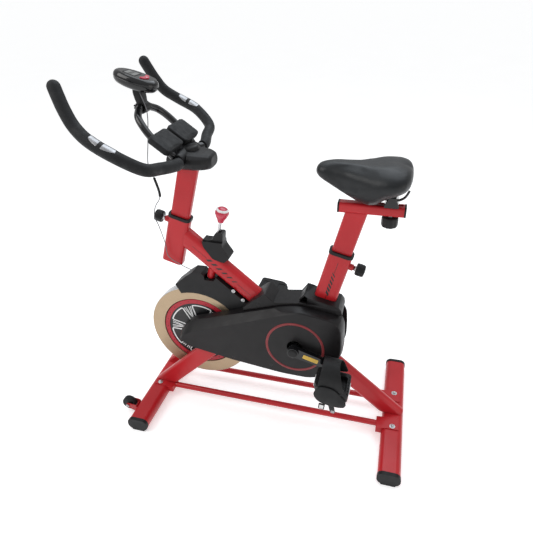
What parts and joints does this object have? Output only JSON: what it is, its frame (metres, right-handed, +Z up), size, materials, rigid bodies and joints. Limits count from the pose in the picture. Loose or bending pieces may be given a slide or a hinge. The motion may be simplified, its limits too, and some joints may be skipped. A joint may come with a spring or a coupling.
{
  "type": "indoor spin bike",
  "caption": "Upright indoor exercise bike with a heavy flywheel, belt drive behind a dark cover, sliding saddle and handlebar posts and a brake knob.",
  "frame": {"origin": "on the floor under the middle of the bounding box", "axes": "+Z up, -X towards the handlebar and front foot, +X towards the rear foot, -Y the rider's left where the drive cover is"},
  "size_m": [0.9822, 0.552, 1.1504],
  "materials": {
    "red_paint": "semi-gloss red enamel",
    "black_paint": "gloss black enamel",
    "steel": "bright zinc plated",
    "wheel_iron": "turned face with a warm metallic coat",
    "rubber": "matt black",
    "black_plastic": "fine grained, near black",
    "foam": "soft closed-cell foam",
    "vinyl": "smooth coated cover",
    "red_plastic": "gloss"
  },
  "bodies": {
    "frame": {"main_beam": "red_paint", "head_tube": "red_paint", "seat_tube": "red_paint", "left_fork_blade": "red_paint", "right_fork_blade": "red_paint", "bottom_bracket_shell": "red_paint", "bearing_cartridge": "steel", "front_foot": "red_paint", "front_foot_cap_left": "rubber", "front_foot_cap_right": "rubber", "rear_foot": "red_paint", "rear_foot_cap_left": "rubber", "rear_foot_cap_right": "rubber", "left_side_bar": "red_paint", "right_side_bar": "red_paint", "left_wheel_bracket": "red_paint", "right_wheel_bracket": "red_paint", "left_cover": "black_plastic", "right_cover": "black_plastic", "top_cover": "black_plastic", "fender": "black_plastic", "brake_housing": "black_plastic", "bar_post_bushing": "black_plastic", "seat_post_bushing": "black_plastic", "wheel_axle": "steel", "drive_belt": "rubber"},
    "crank_set": {"crank_axle": "steel", "left_crank_arm": "black_paint", "right_crank_arm": "black_paint", "drive_pulley": "black_plastic"},
    "left_pedal_unit": {"left_pedal": "black_plastic", "left_pedal_strap": "rubber"},
    "right_pedal_unit": {"right_pedal": "black_plastic", "right_pedal_strap": "rubber"},
    "flywheel_unit": {"flywheel": "wheel_iron"},
    "brake_press_unit": {"brake_shoe": "black_plastic"},
    "brake_screw_unit": {"brake_rod": "steel", "brake_knob": "red_plastic"},
    "handlebar_unit": {"bar_post": "red_paint", "handlebar": "black_paint", "left_grip": "foam", "right_grip": "foam", "centre_shroud": "black_plastic", "aero_loop": "black_paint", "left_elbow_pad": "foam", "right_elbow_pad": "foam", "sensor_wire": "black_plastic"},
    "console_unit": {"console": "black_plastic"},
    "console_key": {"console_button": "red_plastic"},
    "bar_knob_unit": {"bar_post_knob": "black_plastic"},
    "seat_unit": {"seat_post": "red_paint", "front_rail_cap": "black_plastic", "rear_rail_cap": "black_plastic"},
    "saddle_unit": {"saddle": "vinyl", "saddle_rails": "steel", "saddle_clamp": "steel"},
    "saddle_knob_unit": {"saddle_knob": "black_plastic"},
    "seat_knob_unit": {"seat_post_knob": "black_plastic"},
    "left_wheel_unit": {"left_transport_wheel": "rubber"},
    "right_wheel_unit": {"right_transport_wheel": "rubber"}
  },
  "joints": [
    {"name": "crank_spin", "type": "hinge", "parent": "frame", "child": "crank_set", "pos_m": [0.119, 0, 0.327], "axis": [0, 1, 0], "continuous": true},
    {"name": "left_pedal_spin", "type": "hinge", "parent": "crank_set", "child": "left_pedal_unit", "pos_m": [0.25838, -0.172, 0.28703], "axis": [0, 1, 0], "continuous": true},
    {"name": "right_pedal_spin", "type": "hinge", "parent": "crank_set", "child": "right_pedal_unit", "pos_m": [-0.02038, 0.172, 0.36697], "axis": [0, 1, 0], "continuous": true},
    {"name": "flywheel_spin", "type": "hinge", "parent": "frame", "child": "flywheel_unit", "pos_m": [-0.236, 0, 0.279], "axis": [0, 1, 0], "continuous": true},
    {"name": "brake_press", "type": "slide", "parent": "frame", "child": "brake_press_unit", "axis": [-0.2306, 0, -0.973], "range_m": [0, 0.006], "stiffness_N_per_m": 2500, "springref_m": -0.004},
    {"name": "brake_tension", "type": "hinge", "parent": "brake_press_unit", "child": "brake_screw_unit", "pos_m": [-0.12935, 0, 0.729], "axis": [0.2306, 0, 0.973], "range_deg": [-720, 720]},
    {"name": "handlebar_height", "type": "slide", "parent": "frame", "child": "handlebar_unit", "axis": [0.2696, 0, 0.963], "range_m": [-0.025, 0.08], "deforming": ["sensor_wire"]},
    {"name": "bar_pin_pull", "type": "slide", "parent": "frame", "child": "bar_knob_unit", "axis": [-0.963, 0, 0.2696], "range_m": [0, 0.008], "stiffness_N_per_m": 600, "springref_m": -0.006},
    {"name": "console_tilt", "type": "hinge", "parent": "handlebar_unit", "child": "console_unit", "pos_m": [-0.34, 0, 1.042], "axis": [0, 1, 0], "range_deg": [-12, 15]},
    {"name": "console_key_press", "type": "slide", "parent": "console_unit", "child": "console_key", "axis": [-0.2924, 0, -0.9563], "range_m": [0, 0.0015], "stiffness_N_per_m": 300, "springref_m": -0.002},
    {"name": "seat_height", "type": "slide", "parent": "frame", "child": "seat_unit", "axis": [0.2425, 0, 0.9701], "range_m": [-0.1, 0.08]},
    {"name": "seat_pin_pull", "type": "slide", "parent": "frame", "child": "seat_knob_unit", "axis": [0.9701, 0, -0.2425], "range_m": [0, 0.008], "stiffness_N_per_m": 600, "springref_m": -0.006},
    {"name": "saddle_fore_aft", "type": "slide", "parent": "seat_unit", "child": "saddle_unit", "axis": [1, 0, 0], "range_m": [-0.03, 0.014]},
    {"name": "saddle_knob_turn", "type": "hinge", "parent": "saddle_unit", "child": "saddle_knob_unit", "pos_m": [0.365, 0, 0.76], "axis": [0, 0, 1], "range_deg": [-360, 360]},
    {"name": "left_wheel_roll", "type": "hinge", "parent": "frame", "child": "left_wheel_unit", "pos_m": [-0.4655, -0.185, 0.038], "axis": [0, 1, 0], "continuous": true},
    {"name": "right_wheel_roll", "type": "hinge", "parent": "frame", "child": "right_wheel_unit", "pos_m": [-0.4655, 0.185, 0.038], "axis": [0, 1, 0], "continuous": true}
  ],
  "couplings": [
    {"joint": "crank_spin", "follows": "flywheel_spin", "ratio": 0.233}
  ]
}
